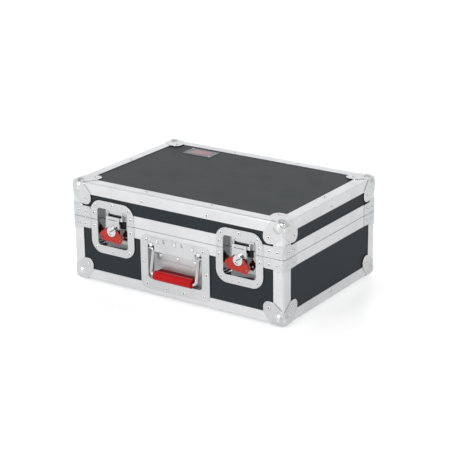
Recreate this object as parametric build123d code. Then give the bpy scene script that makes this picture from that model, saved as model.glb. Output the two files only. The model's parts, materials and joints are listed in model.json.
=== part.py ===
# Microphone case: a plywood base and a hinged lid, bound in aluminium edging, with two
# recessed twist latches, a recessed carry handle and foam pockets inside.
# Millimetres. +X is the case's right seen from the front, -Y is the front, +Z is up.
# The origin lies on the ground under the middle of the case body.

import os
from math import cos, radians, sin

from build123d import *

# Case body
CASE_LENGTH = 504.0
CASE_WIDTH = 346.0
CASE_HEIGHT = 208.0
PARTING_HEIGHT = 134.0
SEAM = 0.3
PANEL_THICKNESS = 9.0

# Edging
EDGE_LEG = 24.0
EDGE_WALL = 1.5
EDGE_ROUND = 5.0
EDGE_END_GAP = 27.0
BASE_RIM_LEG = 22.0
LID_RIM_LEG = 24.0
RIM_CAP = 3.0
LID_RIM_CAP = 5.0
RIM_INNER_LEG = 12.0
TONGUE_WIDTH = 2.5
TONGUE_HEIGHT = 2.5
GROOVE_CLEARANCE = 0.5
GROOVE_DEPTH = 3.0

# Pressed steel fittings
SHEET = 1.2
BALL_RADIUS = 17.5
BALL_REACH = 5.0
LEAF_NOTCH = 28.0
LEAF_RIVET = 33.0
LEAF_ROUND = 13.5
LEAF_SHOULDER = (45.4, 21.7)
BRACE_SIDE_LEG = 44.0
BRACE_DISH_GAP = 0.3
BRACE_SHOULDER = 4.0
BRACE_SHOULDER_START = 19.0
BRACE_SHOULDER_END = 24.0
BRACE_FRONT_RIVET_END = 13.4
BRACE_SIDE_RIVET_END = 12.0
BRACE_RIVET_NEAR = 14.0
BRACE_RIVET_LEVEL = 13.3

# Rivet heads
RIVET_RADIUS = 3.6
RIVET_HEIGHT = 1.1
RIVET_ROUND = 0.8
EDGE_RIVET_INSET = 16.5
EDGE_RIVET_SPREAD = 78.0

# Latch dishes
LATCH_END_DISTANCE = 99.7
LATCH_HANDLE_CLEARANCE = 0.5
LATCH_FLANGE_WIDTH = 108.0
LATCH_FLANGE_BOTTOM = 64.5
LATCH_FLANGE_TOP = 176.5
LATCH_FLANGE_ROUND = 26.0
LATCH_OPENING_WIDTH = 75.0
LATCH_OPENING_BOTTOM = 81.5
LATCH_OPENING_TOP = 160.5
LATCH_OPENING_ROUND = 7.0
DISH_DEPTH = 13.0
DISH_FIT = 0.3
LATCH_MID_RIVET_GAP = 6.8
LATCH_CORNER_RIVET = (41.4, 11.6)
LATCH_SIDE_RIVET_X = 46.0
LATCH_SIDE_RIVET_RISE = 14.0

# Latch works, measured from the spindle
SPINDLE_OFFSET = -4.5
SPINDLE_HEIGHT = 114.0
BARREL_RADIUS = 10.9
BARREL_PROUD = 0.5
BARREL_BACK = 4.9
SHAFT_RADIUS = 3.0
RUNNING_CLEARANCE = 0.05
CAM_RADIUS = 8.0
CAM_THROW = 4.5
CAM_SIDE_PLAY = 0.6
CAM_LIFT_PLAY = 1.15
HOOK_THICKNESS = 2.2
HOOK_WIDTH = 33.0
HOOK_FOOT = 4.0
HOOK_TOP = 29.7
PLATE_GAP = 0.3
BASE_PLATE = 1.5
BOSS_RADIUS = 8.0
GUIDE_WALL = 2.0
GUIDE_REACH = 17.0
WING_THICKNESS = 2.5
WING_SHOULDER = (14.5, 4.7)
WING_TIP = (29.4, -10.0)
WING_FOOT = (22.3, -22.6)
WING_ROUND = 2.5
WING_NOTCH_GAP = 0.5
WING_HOLE = (20.4, -15.1)
WING_HOLE_RADIUS = 1.9
WING_PIN_RADIUS = 0.8
WING_PIN_HEIGHT = 2.0
WING_TILTS = {"left": 4.0, "right": 7.0}

# Keeper, measured up from the underside of the case body
KEEPER_BAR_BOTTOM = 136.0
KEEPER_BAR_TOP = 143.0
KEEPER_PLATE_BOTTOM = 147.5
KEEPER_PLATE_TOP = 155.5
KEEPER_RIVET_HEIGHT = 151.2
KEEPER_RIVET_RADIUS = 2.6
KEEPER_LAP = 1.0
KEEPER_RIVET_SPREAD = 18.4
KEEPER_BAR_WIDTH = 38.0
KEEPER_PLATE_WIDTH = 50.0
KEEPER_CHEEK = 2.0

# Handle
HANDLE_FLANGE_WIDTH = 166.0
HANDLE_FLANGE_BOTTOM = 12.0
HANDLE_FLANGE_TOP = 125.0
HANDLE_FLANGE_ROUND = 14.0
HANDLE_OPENING_WIDTH = 130.0
HANDLE_OPENING_BOTTOM = 34.7
HANDLE_PAN_TOP = 110.0
HANDLE_OPENING_TOP = 122.3
HANDLE_OPENING_ROUND = 8.0
COVER_BOTTOM = 94.2
COVER_BAIL_CLEARANCE = 1.4
COVER_NECK_TOP = 106.0
BAIL_HEIGHT = 98.0
BAIL_DEPTH = 4.6
BAIL_ROD = 4.0
BAIL_SIDE_GAP = 10.6
BAIL_DROP = 53.0
BAIL_BEND = 8.0
BAIL_LEAN = 11.4
GRIP_RADIUS = 9.5
GRIP_END_GAP = 8.9
GRIP_TONGUE_THICKNESS = 4.0
GRIP_TONGUE_RISE = 4.0
HANDLE_RIVETS = (
    (-68.4, 115.0), (68.4, 115.0), (-77.0, 68.6), (77.0, 68.6),
    (-68.1, 22.5), (68.1, 22.5), (-21.0, 19.4), (21.0, 19.4),
)
COVER_RIVETS = ((-42.5, 115.0), (0.0, 115.0), (42.5, 115.0))

# Hinges
HINGE_END_DISTANCE = 102.0
HINGE_AXIS_GAP = 4.5
HINGE_PIN_RADIUS = 2.0
KNUCKLE_RADIUS = 3.5
HINGE_LENGTH = 60.0
HINGE_LID_KNUCKLE = 29.0
KNUCKLE_GAP = 0.3
HINGE_LEAF = 1.5
HINGE_LEAF_START = 4.0
HINGE_LEAF_HEIGHT = 20.0
HINGE_WEB_START = 1.0

# Foam
FOAM_FIT = 0.5
FLOOR_PAD = 12.0
INSERT_TOP = 122.0
FOAM_OUTER_WALL = 20.0
BAY_LENGTH = 109.0
POCKET_COLUMNS = 5
POCKET_ROWS = 3
POCKET_LENGTH = 45.0
POCKET_WIDTH = 66.0
LID_FOAM = 10.0

# Name plate on the lid
PLATE_END_DISTANCE = 112.0
PLATE_BACK_DISTANCE = 53.0
PLATE_LENGTH = 70.0
PLATE_WIDTH = 38.0
PLATE_THICKNESS = 1.0
PLATE_RIVET_RADIUS = 2.0
PLATE_RIVET_INSET = 4.5

HALF_LENGTH = CASE_LENGTH / 2
HALF_WIDTH = CASE_WIDTH / 2
FRONT = -HALF_WIDTH
FLOOR = BALL_REACH
TOP = FLOOR + CASE_HEIGHT
PARTING = FLOOR + PARTING_HEIGHT
LID_FLOOR = PARTING + SEAM
PANEL_DEPTH = EDGE_WALL + PANEL_THICKNESS
RIM_DEPTH = PANEL_DEPTH + EDGE_WALL
BALL_INSET = BALL_RADIUS - BALL_REACH
SPINDLE_Z = FLOOR + SPINDLE_HEIGHT
HOOK_FRONT = BARREL_BACK + PLATE_GAP
HOOK_BACK = HOOK_FRONT + HOOK_THICKNESS
WORKS_FRONT = HOOK_BACK + PLATE_GAP
PLATE_FRONT = DISH_DEPTH - BASE_PLATE
HINGE_Y = HALF_WIDTH + HINGE_AXIS_GAP
HINGE_Z = PARTING + SEAM / 2
DISH_PITCH = (HANDLE_FLANGE_WIDTH + LATCH_FLANGE_WIDTH) / 2 + LATCH_HANDLE_CLEARANCE
LATCH_X = max(HALF_LENGTH - LATCH_END_DISTANCE, DISH_PITCH)
BRACE_FRONT_LEG = HALF_LENGTH - LATCH_X - LATCH_FLANGE_WIDTH / 2 - BRACE_DISH_GAP
BRACE_RIVETS = (
    (BRACE_FRONT_LEG - BRACE_FRONT_RIVET_END, BRACE_SIDE_LEG - BRACE_SIDE_RIVET_END),
    (BRACE_RIVET_NEAR, BRACE_RIVET_NEAR),
)
BAIL_ARM_X = HANDLE_OPENING_WIDTH / 2 - BAIL_SIDE_GAP
GRIP_LENGTH = 2 * (BAIL_ARM_X - GRIP_END_GAP)
COVER_NECK_WIDTH = 2 * (BAIL_ARM_X - BAIL_ROD - COVER_BAIL_CLEARANCE)
HINGE_X = HALF_LENGTH - HINGE_END_DISTANCE
PLATE_CENTRE = (PLATE_END_DISTANCE - HALF_LENGTH, HALF_WIDTH - PLATE_BACK_DISTANCE)
HOLE_OVERRUN = 2 * SHEET
REACH = CASE_LENGTH


def block(x_range, y_range, z_range):
    """A box between two values on each axis."""
    sizes = [high - low for low, high in (x_range, y_range, z_range)]
    middles = [(high + low) / 2 for low, high in (x_range, y_range, z_range)]
    return Pos(*middles) * Box(*sizes)


def body_block(grow, corner):
    """The whole case body grown by a distance on every side, with its edges rounded."""
    solid = Box(CASE_LENGTH + 2 * grow, CASE_WIDTH + 2 * grow, CASE_HEIGHT + 2 * grow)
    solid = fillet(solid.edges(), corner)
    return Pos(0, 0, FLOOR + CASE_HEIGHT / 2) * solid


def front_plane(depth, x=0.0, z=0.0, tilt=0.0):
    """A plane at a depth behind the front face, drawn as seen from the front."""
    angle = radians(tilt)
    return Plane(
        origin=(x, FRONT + depth, z), x_dir=(cos(angle), 0, -sin(angle)), z_dir=(0, -1, 0)
    )


def front_plate(sketch, near, far, x=0.0, z=0.0, tilt=0.0):
    """A sketch on the front face made solid between two depths."""
    return extrude(front_plane(far, x, z, tilt) * sketch, amount=far - near)


def front_rod(radius, near, far, x, z):
    return front_plate(Circle(radius), near, far, x, z)


def rounded(width, bottom, top, corner, x=0.0):
    """A rounded rectangle between two heights above the underside of the body."""
    return Pos(x, FLOOR + (bottom + top) / 2) * RectangleRounded(width, top - bottom, corner)


OUTER = body_block(0, EDGE_ROUND)
CORE = body_block(-EDGE_WALL, EDGE_ROUND - EDGE_WALL)
EDGE_SHELL = OUTER - CORE
SHEET_SHELL = body_block(SHEET, EDGE_ROUND + SHEET) - OUTER


def latch_hole(x):
    """The room that one latch dish takes through the front wall."""
    width = LATCH_OPENING_WIDTH + 2 * (SHEET + DISH_FIT)
    outline = rounded(
        width,
        LATCH_OPENING_BOTTOM - SHEET - DISH_FIT,
        LATCH_OPENING_TOP + SHEET + DISH_FIT,
        LATCH_OPENING_ROUND + SHEET + DISH_FIT,
        x,
    )
    return front_plate(outline, -SHEET, DISH_DEPTH + HOLE_OVERRUN)


def handle_hole():
    width = HANDLE_OPENING_WIDTH + 2 * (SHEET + DISH_FIT)
    outline = rounded(
        width,
        HANDLE_OPENING_BOTTOM - SHEET - DISH_FIT,
        HANDLE_PAN_TOP + SHEET + DISH_FIT,
        HANDLE_OPENING_ROUND + SHEET + DISH_FIT,
    )
    return front_plate(outline, -SHEET, DISH_DEPTH + HOLE_OVERRUN)


LATCH_HOLES = [latch_hole(-LATCH_X), latch_hole(LATCH_X)]


def wall_panels(low, high):
    """Front, back, left and right plywood panels between two heights."""
    depth = (EDGE_WALL, PANEL_DEPTH)
    across = (-HALF_LENGTH + PANEL_DEPTH, HALF_LENGTH - PANEL_DEPTH)
    along = (-HALF_WIDTH, HALF_WIDTH)
    z_range = (low, high)
    inside = (-HALF_WIDTH + PANEL_DEPTH, HALF_WIDTH - PANEL_DEPTH)
    full = (-HALF_LENGTH, HALF_LENGTH)
    return {
        "front": CORE & block(full, (along[0] + depth[0], inside[0]), z_range),
        "back": CORE & block(full, (inside[1], along[1] - depth[0]), z_range),
        "left": CORE & block((full[0] + depth[0], across[0]), inside, z_range),
        "right": CORE & block((across[1], full[1] - depth[0]), inside, z_range),
    }


def flat_edges(z_range):
    """The four angle profiles that close one level face of the body."""
    x_run = (-HALF_LENGTH + EDGE_END_GAP, HALF_LENGTH - EDGE_END_GAP)
    y_run = (-HALF_WIDTH + EDGE_END_GAP, HALF_WIDTH - EDGE_END_GAP)
    return {
        "front": EDGE_SHELL & block(x_run, (-HALF_WIDTH, -HALF_WIDTH + EDGE_LEG), z_range),
        "back": EDGE_SHELL & block(x_run, (HALF_WIDTH - EDGE_LEG, HALF_WIDTH), z_range),
        "left": EDGE_SHELL & block((-HALF_LENGTH, -HALF_LENGTH + EDGE_LEG), y_run, z_range),
        "right": EDGE_SHELL & block((HALF_LENGTH - EDGE_LEG, HALF_LENGTH), y_run, z_range),
    }


def four_corners(solid):
    """A solid at the right front corner, copied to all four upright corners."""
    right = [solid, mirror(solid, Plane.XZ)]
    return right + [mirror(item, Plane.YZ) for item in right]


def posts(z_range):
    """Upright angle profiles at the four corners."""
    x_range = (HALF_LENGTH - EDGE_LEG, HALF_LENGTH)
    y_range = (-HALF_WIDTH, -HALF_WIDTH + EDGE_LEG)
    return four_corners(EDGE_SHELL & block(x_range, y_range, z_range))


def ring(z_range, outer_inset, inner_inset):
    """A square ring round the body, between two distances inside its outer face."""
    outer = block(
        (-HALF_LENGTH + outer_inset, HALF_LENGTH - outer_inset),
        (-HALF_WIDTH + outer_inset, HALF_WIDTH - outer_inset),
        z_range,
    )
    inner = block(
        (-HALF_LENGTH + inner_inset, HALF_LENGTH - inner_inset),
        (-HALF_WIDTH + inner_inset, HALF_WIDTH - inner_inset),
        z_range,
    )
    return outer - inner


def mitred(solid):
    """A ring cut at its corners into front, back, left and right lengths."""
    far = SHEET + EDGE_WALL
    x_out = HALF_LENGTH + far
    y_out = HALF_WIDTH + far
    ridge = HALF_LENGTH - HALF_WIDTH
    outlines = {
        "front": [(-x_out, -y_out), (x_out, -y_out), (ridge, 0), (-ridge, 0)],
        "back": [(-x_out, y_out), (x_out, y_out), (ridge, 0), (-ridge, 0)],
        "left": [(-x_out, -y_out), (-x_out, y_out), (-ridge, 0)],
        "right": [(x_out, -y_out), (x_out, y_out), (ridge, 0)],
    }
    lengths = {}
    for side, points in outlines.items():
        wedge = extrude(make_face(Polyline(*points, close=True)), amount=REACH)
        lengths[side] = solid & wedge
    return lengths


def base_rims():
    """Profiles along the base's upper edge, with a tongue that keys into the lid."""
    band = EDGE_SHELL & block(
        (-REACH, REACH), (-REACH, REACH), (PARTING - BASE_RIM_LEG, PARTING)
    )
    cap = OUTER & ring((PARTING - RIM_CAP, PARTING), 0, RIM_DEPTH)
    inner = ring((PARTING - RIM_INNER_LEG, PARTING), PANEL_DEPTH, RIM_DEPTH)
    middle = RIM_DEPTH / 2
    tongue = ring(
        (PARTING - RIM_CAP / 2, PARTING + TONGUE_HEIGHT),
        middle - TONGUE_WIDTH / 2,
        middle + TONGUE_WIDTH / 2,
    )
    return mitred(band + cap + inner + tongue)


def lid_rims():
    """Profiles along the lid's lower edge, with the groove for the tongue."""
    band = EDGE_SHELL & block(
        (-REACH, REACH), (-REACH, REACH), (LID_FLOOR, PARTING + LID_RIM_LEG)
    )
    cap = OUTER & ring((LID_FLOOR, LID_FLOOR + LID_RIM_CAP), 0, RIM_DEPTH)
    inner = ring((LID_FLOOR, LID_FLOOR + RIM_INNER_LEG), PANEL_DEPTH, RIM_DEPTH)
    middle = RIM_DEPTH / 2
    reach = TONGUE_WIDTH / 2 + GROOVE_CLEARANCE
    groove = ring((LID_FLOOR, LID_FLOOR + GROOVE_DEPTH), middle - reach, middle + reach)
    return mitred(band + cap + inner - groove)


def leaf_outline():
    """One leaf of a ball corner, measured from the corner along two edges."""
    shoulder_far, shoulder_near = LEAF_SHOULDER
    edge = 2 * SHEET
    points = [
        (-edge, -edge), (LEAF_NOTCH, -edge), (LEAF_NOTCH, 0), (shoulder_far, shoulder_near),
        (LEAF_RIVET + LEAF_ROUND, LEAF_RIVET), (LEAF_RIVET, LEAF_RIVET),
        (LEAF_RIVET, LEAF_RIVET + LEAF_ROUND), (shoulder_near, shoulder_far),
        (0, LEAF_NOTCH), (-edge, LEAF_NOTCH),
    ]
    outline = make_face(Polyline(*points, close=True))
    return outline + Pos(LEAF_RIVET, LEAF_RIVET) * Circle(LEAF_ROUND)


def ball_corner():
    """The ball corner at the top right front: a ball and a leaf on each face."""
    outline = leaf_outline()
    depth = EDGE_ROUND + 2 * SHEET
    corner = (HALF_LENGTH, -HALF_WIDTH, TOP)
    over = 2 * SHEET
    top_plane = Plane(
        origin=(corner[0], corner[1], TOP - EDGE_ROUND), x_dir=(-1, 0, 0), z_dir=(0, 0, -1)
    )
    front_face = Plane(
        origin=(corner[0], corner[1] + EDGE_ROUND, TOP), x_dir=(-1, 0, 0), z_dir=(0, -1, 0)
    )
    side_face = Plane(
        origin=(corner[0] - EDGE_ROUND, corner[1], TOP), x_dir=(0, 1, 0), z_dir=(-1, 0, 0)
    )
    prisms = (
        extrude(top_plane * outline, amount=-depth)
        + extrude(front_face * outline, amount=depth)
        + extrude(side_face * outline, amount=-depth)
    )
    near = block(
        (corner[0] - 3 * BALL_RADIUS, corner[0] + over),
        (corner[1] - over, corner[1] + 3 * BALL_RADIUS),
        (TOP - 3 * BALL_RADIUS, TOP + over),
    )
    leaves = SHEET_SHELL & near & prisms
    ball = Pos(
        corner[0] - BALL_INSET, corner[1] + BALL_INSET, TOP - BALL_INSET
    ) * Sphere(BALL_RADIUS)
    return (ball - CORE) + leaves


def brace(leg, near_height, sign):
    """A pressed brace round the right front corner, above or below the parting."""
    edge = 2 * SHEET
    high = near_height + BRACE_SHOULDER
    level = LID_FLOOR if sign > 0 else PARTING

    def outline(reach):
        points = [
            (-edge, 0), (reach, 0), (reach, near_height), (BRACE_SHOULDER_END, near_height),
            (BRACE_SHOULDER_START, high), (-edge, high),
        ]
        face = make_face(Polyline(*[(u, sign * v) for u, v in points], close=True))
        tips = [v for v in face.vertices() if abs(v.X - reach) < EDGE_WALL and abs(v.Y) > EDGE_WALL]
        return fillet(tips, EDGE_ROUND)

    depth = EDGE_ROUND + 2 * SHEET
    front_face = Plane(
        origin=(HALF_LENGTH, FRONT + EDGE_ROUND, level), x_dir=(-1, 0, 0), z_dir=(0, 1, 0)
    )
    side_face = Plane(
        origin=(HALF_LENGTH - EDGE_ROUND, FRONT, level), x_dir=(0, 1, 0), z_dir=(1, 0, 0)
    )
    prisms = (
        extrude(front_face * outline(leg[0]), amount=-depth)
        + extrude(side_face * outline(leg[1]), amount=depth)
    )
    return SHEET_SHELL & prisms


def rivet_head(radius=RIVET_RADIUS):
    """A low domed rivet head standing on its own origin."""
    head = Cylinder(radius, RIVET_HEIGHT, align=(Align.CENTER, Align.CENTER, Align.MIN))
    return fillet(head.edges().sort_by(Axis.Z)[-1], RIVET_ROUND)


HEAD = rivet_head()


def rivet(position, direction):
    return Plane(origin=position, z_dir=direction) * HEAD


def corner_rivets(sign):
    """The three leaf rivets of the four ball corners above (+1) or below (-1)."""
    heads = []
    level = TOP if sign > 0 else FLOOR
    for x_sign in (-1, 1):
        for y_sign in (-1, 1):
            x_edge = x_sign * HALF_LENGTH
            y_edge = y_sign * HALF_WIDTH
            x_in = x_edge - x_sign * LEAF_RIVET
            y_in = y_edge - y_sign * LEAF_RIVET
            z_in = level - sign * LEAF_RIVET
            heads.append(rivet((x_in, y_in, level + sign * SHEET), (0, 0, sign)))
            heads.append(rivet((x_in, y_edge + y_sign * SHEET, z_in), (0, y_sign, 0)))
            heads.append(rivet((x_edge + x_sign * SHEET, y_in, z_in), (x_sign, 0, 0)))
    return heads


def brace_rivets(sign):
    """The four rivets of each corner brace above (+1) or below (-1) the parting."""
    heads = []
    z = PARTING + sign * BRACE_RIVET_LEVEL
    for x_sign in (-1, 1):
        for y_sign in (-1, 1):
            for front_inset, side_inset in BRACE_RIVETS:
                x = x_sign * (HALF_LENGTH - front_inset)
                y = y_sign * (HALF_WIDTH - side_inset)
                front = (x, y_sign * (HALF_WIDTH + SHEET), z)
                side = (x_sign * (HALF_LENGTH + SHEET), y, z)
                heads.append(rivet(front, (0, y_sign, 0)))
                heads.append(rivet(side, (x_sign, 0, 0)))
    return heads


def edge_rivets(sign):
    """Rivets along the edging of the lid's top (+1) or the base's underside (-1)."""
    heads = []
    level = TOP if sign > 0 else FLOOR
    z = level - sign * EDGE_RIVET_INSET
    for side in (-1, 1):
        for spread in (-EDGE_RIVET_SPREAD, EDGE_RIVET_SPREAD):
            y_flat = side * (HALF_WIDTH - EDGE_RIVET_INSET)
            heads.append(rivet((spread, y_flat, level), (0, 0, sign)))
            covered = sign < 0 and side < 0
            if not covered:
                heads.append(rivet((spread, side * HALF_WIDTH, z), (0, side, 0)))
        x_flat = side * (HALF_LENGTH - EDGE_RIVET_INSET)
        heads.append(rivet((x_flat, 0, level), (0, 0, sign)))
        heads.append(rivet((side * HALF_LENGTH, 0, z), (side, 0, 0)))
    return heads


def front_rivet(x, height, depth=-SHEET):
    return rivet((x, FRONT + depth, FLOOR + height), (0, -1, 0))


def latch_rivets(upper):
    """The five flange rivets of each half of the two latch dishes."""
    heads = []
    corner_x, corner_inset = LATCH_CORNER_RIVET
    end = LATCH_FLANGE_TOP if upper else LATCH_FLANGE_BOTTOM
    sign = 1 if upper else -1
    middle = end - sign * LATCH_MID_RIVET_GAP
    corner = end - sign * corner_inset
    side = PARTING_HEIGHT + sign * LATCH_SIDE_RIVET_RISE
    for x in (-LATCH_X, LATCH_X):
        heads.append(front_rivet(x, middle))
        for hand in (-1, 1):
            heads.append(front_rivet(x + hand * corner_x, corner))
            heads.append(front_rivet(x + hand * LATCH_SIDE_RIVET_X, side))
    return heads


def keeper_rivets():
    """Two smaller rivets through each keeper's plate."""
    small = rivet_head(KEEPER_RIVET_RADIUS)
    z = FLOOR + KEEPER_RIVET_HEIGHT
    return [
        front_plane(PLATE_FRONT, x + spot, z) * small
        for x in (-LATCH_X, LATCH_X)
        for spot in (-KEEPER_RIVET_SPREAD, KEEPER_RIVET_SPREAD)
    ]


def plate_rivets():
    """Two small rivets at opposite corners of the name plate."""
    x, y = PLATE_CENTRE
    reach_x = PLATE_LENGTH / 2 - PLATE_RIVET_INSET
    reach_y = PLATE_WIDTH / 2 - PLATE_RIVET_INSET
    small = rivet_head(PLATE_RIVET_RADIUS)
    level = TOP - EDGE_WALL + PLATE_THICKNESS
    return [
        Pos(x - reach_x, y + reach_y, level) * small,
        Pos(x + reach_x, y - reach_y, level) * small,
    ]


def latch_dish(x):
    """A whole latch dish, before it is parted between the base and the lid."""
    flange = rounded(
        LATCH_FLANGE_WIDTH, LATCH_FLANGE_BOTTOM, LATCH_FLANGE_TOP, LATCH_FLANGE_ROUND, x
    )
    opening = rounded(
        LATCH_OPENING_WIDTH, LATCH_OPENING_BOTTOM, LATCH_OPENING_TOP, LATCH_OPENING_ROUND, x
    )
    pan = rounded(
        LATCH_OPENING_WIDTH + 2 * SHEET,
        LATCH_OPENING_BOTTOM - SHEET,
        LATCH_OPENING_TOP + SHEET,
        LATCH_OPENING_ROUND + SHEET,
        x,
    )
    solid = front_plate(flange, -SHEET, 0) + front_plate(pan, -SHEET / 2, DISH_DEPTH + SHEET)
    return solid - front_plate(opening, -2 * SHEET, DISH_DEPTH)


def below(level):
    return block((-REACH, REACH), (-REACH, REACH), (-REACH, level))


def above(level):
    return block((-REACH, REACH), (-REACH, REACH), (level, REACH))


def latch_base(x):
    """Back plate of a latch: a boss for the spindle and two guides for the hook."""
    centre = x + SPINDLE_OFFSET
    half = HOOK_WIDTH / 2 + PLATE_GAP
    outer = half + GUIDE_WALL
    z_range = (SPINDLE_Z - GUIDE_REACH, SPINDLE_Z + GUIDE_REACH)
    plate = block((centre - outer, centre + outer), (FRONT + PLATE_FRONT, FRONT + DISH_DEPTH), z_range)
    boss = front_rod(BOSS_RADIUS, WORKS_FRONT, DISH_DEPTH, centre, SPINDLE_Z)
    solid = plate + boss
    for low in (centre - outer, centre + half):
        y_range = (FRONT + HOOK_FRONT, FRONT + DISH_DEPTH)
        solid += block((low, low + GUIDE_WALL), y_range, z_range)
    bore = front_rod(SHAFT_RADIUS + RUNNING_CLEARANCE, 0, DISH_DEPTH, centre, SPINDLE_Z)
    return solid - bore


def latch_hook(x):
    """Flat hook plate with a window for the cam."""
    centre = x + SPINDLE_OFFSET
    window_x = CAM_THROW + CAM_RADIUS + CAM_SIDE_PLAY
    window_z = CAM_RADIUS + CAM_LIFT_PLAY
    foot = -CAM_THROW - window_z - HOOK_FOOT
    plate = Pos(0, (HOOK_TOP + foot) / 2) * RectangleRounded(
        HOOK_WIDTH, HOOK_TOP - foot, EDGE_WALL
    )
    window = Pos(0, -CAM_THROW) * Rectangle(2 * window_x, 2 * window_z)
    return front_plate(plate - window, HOOK_FRONT, HOOK_BACK, centre, SPINDLE_Z)


def wing_pin(x, tilt, radius):
    """The cross pin that the wing folds on, as a solid through the barrel."""
    centre = x + SPINDLE_OFFSET
    angle = radians(tilt)
    reach = WING_SHOULDER[0]
    origin = (
        centre + WING_PIN_HEIGHT * sin(angle),
        FRONT + WING_THICKNESS / 2,
        SPINDLE_Z + WING_PIN_HEIGHT * cos(angle),
    )
    axis = Plane(origin=origin, z_dir=(cos(angle), 0, -sin(angle)))
    return axis * Cylinder(radius, 2 * reach)


def latch_spindle(x, tilt):
    """Barrel, cam and shaft turned as one, with the wing's cross pin pressed in."""
    centre = x + SPINDLE_OFFSET
    barrel = front_rod(BARREL_RADIUS, -BARREL_PROUD, BARREL_BACK, centre, SPINDLE_Z)
    barrel = fillet(barrel.edges().sort_by(Axis.Y)[0], EDGE_WALL / 2)
    cam = front_rod(CAM_RADIUS, BARREL_BACK, HOOK_BACK, centre, SPINDLE_Z - CAM_THROW)
    shaft = front_rod(SHAFT_RADIUS, BARREL_BACK, DISH_DEPTH - PLATE_GAP, centre, SPINDLE_Z)
    return barrel + cam + shaft + wing_pin(x, tilt, WING_PIN_RADIUS)


def latch_wing(x, tilt):
    """Butterfly wing: a plate with a notch round the barrel and two finger holes."""
    right = [WING_SHOULDER, WING_TIP, WING_FOOT]
    left = [(-u, v) for u, v in reversed(right)]
    face = make_face(Polyline(*right, *left, close=True))
    face = fillet(face.vertices(), WING_ROUND)
    notch = BARREL_RADIUS + WING_NOTCH_GAP
    face -= Circle(notch)
    face -= Pos(0, notch / 2) * Rectangle(2 * notch, notch)
    for u in (-WING_HOLE[0], WING_HOLE[0]):
        face -= Pos(u, WING_HOLE[1]) * Circle(WING_HOLE_RADIUS)
    centre = x + SPINDLE_OFFSET
    wing = front_plate(face, 0, WING_THICKNESS, centre, SPINDLE_Z, tilt)
    return wing - wing_pin(x, tilt, WING_PIN_RADIUS + RUNNING_CLEARANCE)


def latch_keeper(x):
    """Keeper in the upper dish: a riveted plate with a bar standing out below it."""
    bar_z = (FLOOR + KEEPER_BAR_BOTTOM, FLOOR + KEEPER_BAR_TOP)
    plate_z = (FLOOR + KEEPER_PLATE_BOTTOM, FLOOR + KEEPER_PLATE_TOP)
    front = FRONT + WORKS_FRONT
    back = FRONT + DISH_DEPTH
    half = KEEPER_BAR_WIDTH / 2
    wide = KEEPER_PLATE_WIDTH / 2
    solid = block((x - wide, x + wide), (FRONT + PLATE_FRONT, back), plate_z)
    solid += block((x - half, x + half), (front, front + BASE_PLATE), bar_z)
    for low in (x - half, x + half - KEEPER_CHEEK):
        cheek_z = (bar_z[0], plate_z[0] + KEEPER_LAP)
        solid += block((low, low + KEEPER_CHEEK), (front, back), cheek_z)
    return solid


def handle_dish():
    flange = rounded(
        HANDLE_FLANGE_WIDTH, HANDLE_FLANGE_BOTTOM, HANDLE_FLANGE_TOP, HANDLE_FLANGE_ROUND
    )
    opening = rounded(
        HANDLE_OPENING_WIDTH, HANDLE_OPENING_BOTTOM, HANDLE_OPENING_TOP, HANDLE_OPENING_ROUND
    )
    pan = rounded(
        HANDLE_OPENING_WIDTH + 2 * SHEET,
        HANDLE_OPENING_BOTTOM - SHEET,
        HANDLE_PAN_TOP + SHEET,
        HANDLE_OPENING_ROUND + SHEET,
    )
    hollow = rounded(
        HANDLE_OPENING_WIDTH, HANDLE_OPENING_BOTTOM, HANDLE_PAN_TOP, HANDLE_OPENING_ROUND
    )
    solid = front_plate(flange, -SHEET, 0) - front_plate(opening, -SHEET, 0)
    solid += front_plate(pan, -SHEET / 2, DISH_DEPTH + SHEET) - front_plate(pan, -SHEET / 2, 0)
    solid -= front_plate(hollow, 0, DISH_DEPTH)
    return solid


def handle_cover():
    """Cover plate over the bail's pivots, flush with the dish flange."""
    top = HANDLE_OPENING_TOP - DISH_FIT
    width = HANDLE_OPENING_WIDTH - 2 * DISH_FIT
    plate = rounded(width, COVER_NECK_TOP, top, HANDLE_OPENING_ROUND - DISH_FIT)
    neck_middle = FLOOR + (COVER_BOTTOM + COVER_NECK_TOP + HANDLE_OPENING_ROUND) / 2
    neck_height = COVER_NECK_TOP + HANDLE_OPENING_ROUND - COVER_BOTTOM
    neck = Pos(0, neck_middle) * Rectangle(COVER_NECK_WIDTH, neck_height)
    return front_plate(plate + neck, -SHEET, 0)


def leaned(solid):
    """Turn a solid drawn hanging straight down to the angle it rests at."""
    axis = Axis((0, FRONT + BAIL_DEPTH, FLOOR + BAIL_HEIGHT), (-1, 0, 0))
    return solid.rotate(axis, BAIL_LEAN)


def handle_bail():
    """Steel bail: two arms and a bar, its ends turned out into the dish's sides."""
    end = HANDLE_OPENING_WIDTH / 2 - DISH_FIT
    y = FRONT + BAIL_DEPTH
    z = FLOOR + BAIL_HEIGHT
    low = z - BAIL_DROP
    points = [
        (-end, y, z), (-BAIL_ARM_X, y, z), (-BAIL_ARM_X, y, low),
        (BAIL_ARM_X, y, low), (BAIL_ARM_X, y, z), (end, y, z),
    ]
    bend = BAIL_ROD + EDGE_WALL
    path = FilletPolyline(*points, radius=[bend, BAIL_BEND, BAIL_BEND, bend])
    section = Plane(origin=points[0], z_dir=(1, 0, 0)) * Circle(BAIL_ROD)
    return leaned(sweep(section, path=path))


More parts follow.
